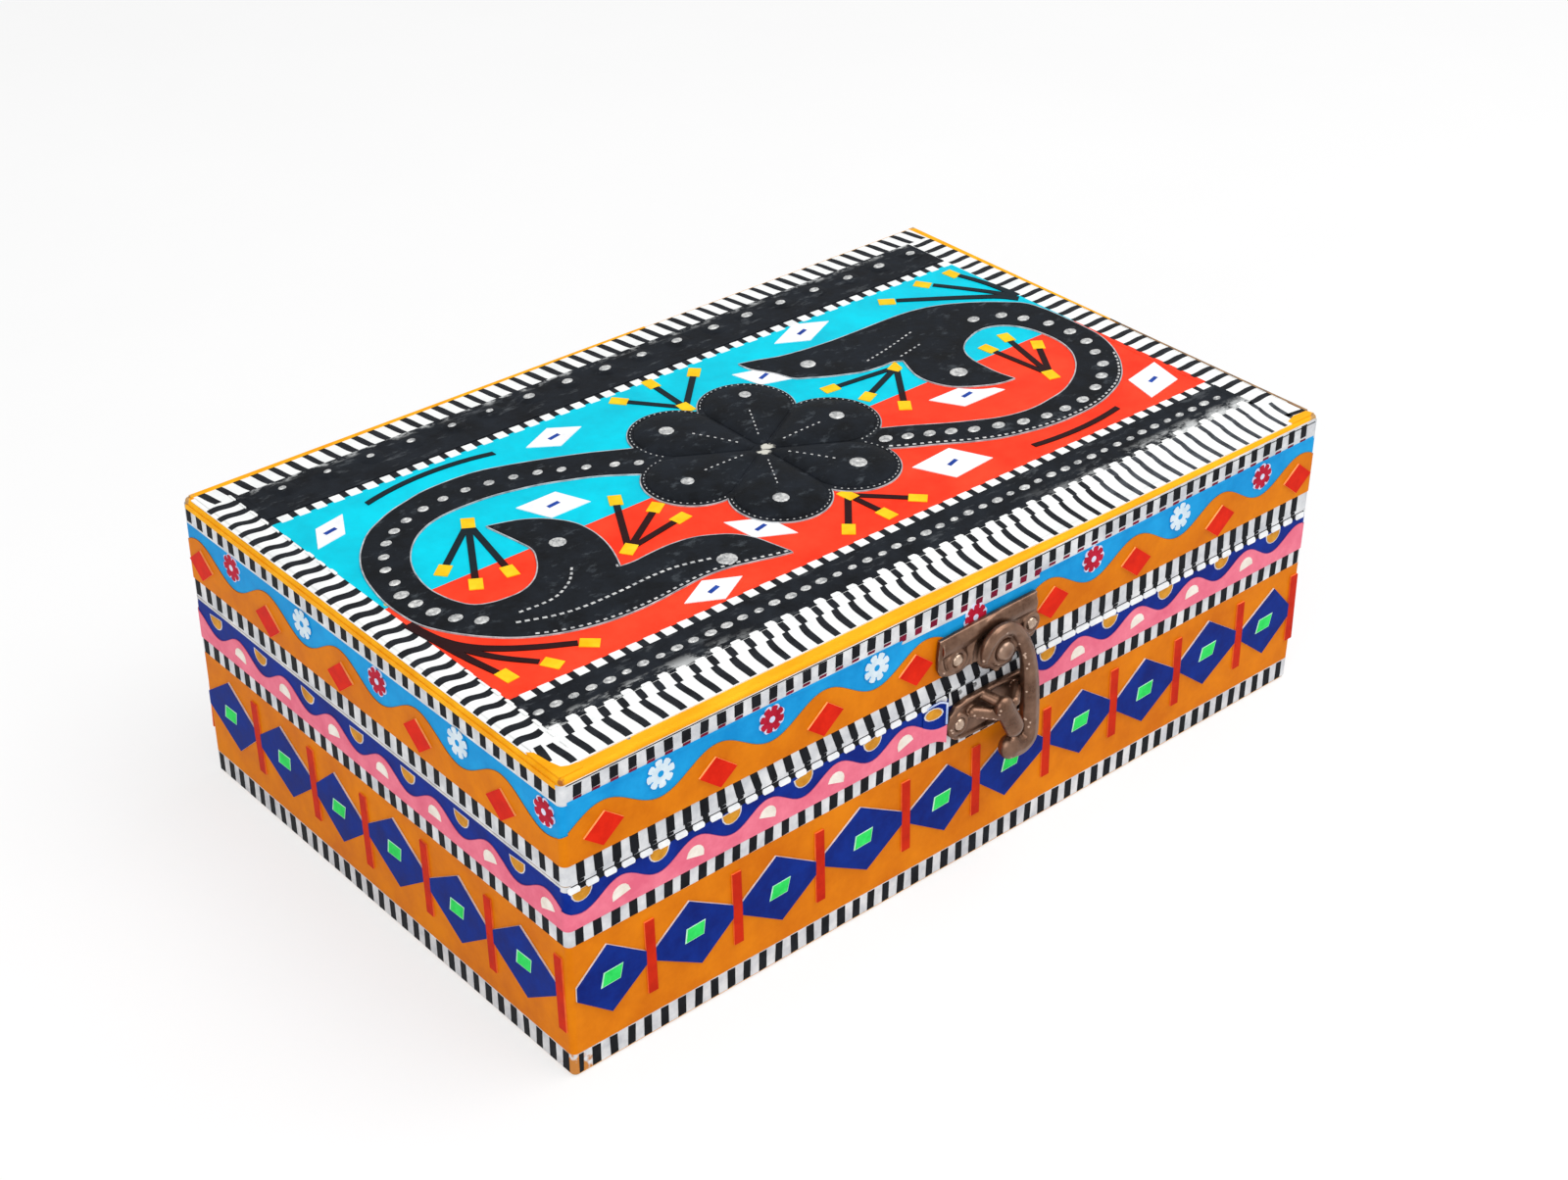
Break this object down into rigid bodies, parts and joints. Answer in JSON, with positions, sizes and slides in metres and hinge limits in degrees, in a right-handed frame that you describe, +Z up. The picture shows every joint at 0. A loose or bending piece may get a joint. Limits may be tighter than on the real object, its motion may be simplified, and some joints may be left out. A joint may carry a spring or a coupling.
{
  "type": "storage box",
  "caption": "Rectangular wooden storage box with a hinged lid and a swinging hook latch, covered in coloured tape and cut-out folk ornament.",
  "frame": {"origin": "middle of the underside of the wooden base, on the surface it stands on", "axes": "+X along the front to the right, +Y from the front to the back, +Z up"},
  "size_m": [0.2414, 0.1603, 0.0808],
  "materials": {
    "painted_wood": "brushed orange yellow paint on wood",
    "zebra_tape": "white tape with printed black stripes",
    "orange_film": "glossy self-adhesive film",
    "navy_film": "glossy self-adhesive film",
    "sky_blue_film": "glossy self-adhesive film",
    "pink_film": "glossy self-adhesive film",
    "turquoise_film": "glossy self-adhesive film",
    "red_film": "glossy self-adhesive film",
    "white_film": "glossy self-adhesive film",
    "yellow_film": "glossy self-adhesive film",
    "black_embossed_sheet": "embossed black sheet, rubbed silvery on its bosses",
    "black_film": "glossy self-adhesive film",
    "antique_bronze": "antique bronze plating, worn brighter on edges",
    "steel": "plain steel"
  },
  "bodies": {
    "base": {"base_bottom_panel": "painted_wood", "base_front_wall": "painted_wood", "base_back_wall": "painted_wood", "base_left_wall": "painted_wood", "base_right_wall": "painted_wood", "base_corner_pins": "steel", "base_bottom_pins": "steel", "base_bottom_zebra_tape": "zebra_tape", "base_orange_field_film": "orange_film", "base_middle_zebra_tape": "zebra_tape", "base_navy_band": "navy_film", "base_pink_wave_film": "pink_film", "base_rim_zebra_tape": "zebra_tape", "base_blue_diamonds": "navy_film", "base_red_bars": "red_film", "left_hinge_base_leaf": "antique_bronze", "right_hinge_base_leaf": "antique_bronze", "left_hinge_pin": "steel", "right_hinge_pin": "steel", "hinge_base_nails": "antique_bronze", "latch_lower_plate": "antique_bronze", "latch_lower_nails": "antique_bronze"},
    "lid": {"lid_top_panel": "painted_wood", "lid_front_rail": "painted_wood", "lid_back_rail": "painted_wood", "lid_left_rail": "painted_wood", "lid_right_rail": "painted_wood", "lid_corner_pins": "steel", "lid_top_pins": "steel", "lid_lower_zebra_tape": "zebra_tape", "lid_sky_blue_band": "sky_blue_film", "lid_orange_wave_film": "orange_film", "lid_upper_zebra_tape": "zebra_tape", "lid_red_diamonds": "red_film", "lid_white_daisies": "white_film", "lid_red_daisies": "red_film", "top_front_zebra_strip": "zebra_tape", "top_back_zebra_strip": "zebra_tape", "top_left_zebra_strip": "zebra_tape", "top_right_zebra_strip": "zebra_tape", "top_front_black_band": "black_embossed_sheet", "top_back_black_band": "black_embossed_sheet", "top_front_dotted_strip": "zebra_tape", "top_back_dotted_strip": "zebra_tape", "top_red_film": "red_film", "top_turquoise_film": "turquoise_film", "top_black_flower": "black_embossed_sheet", "top_left_black_scroll": "black_embossed_sheet", "top_right_black_scroll": "black_embossed_sheet", "top_white_diamonds": "white_film", "top_spray_stems": "black_film", "top_spray_buds": "yellow_film", "top_black_arcs": "black_film", "left_hinge_lid_leaf": "antique_bronze", "right_hinge_lid_leaf": "antique_bronze", "hinge_lid_nails": "antique_bronze", "latch_upper_plate": "antique_bronze", "latch_pivot_rivet": "antique_bronze", "latch_upper_nails": "antique_bronze"},
    "hook": {"latch_hook": "antique_bronze"}
  },
  "joints": [
    {"name": "lid_hinge", "type": "hinge", "parent": "base", "child": "lid", "pos_m": [0, 0.0771, 0.0525], "axis": [-1, 0, 0], "range_deg": [0, 180]},
    {"name": "hook_pivot", "type": "hinge", "parent": "lid", "child": "hook", "pos_m": [0.0043, -0.078, 0.0605], "axis": [0, -1, 0], "range_deg": [-4, 95]}
  ]
}
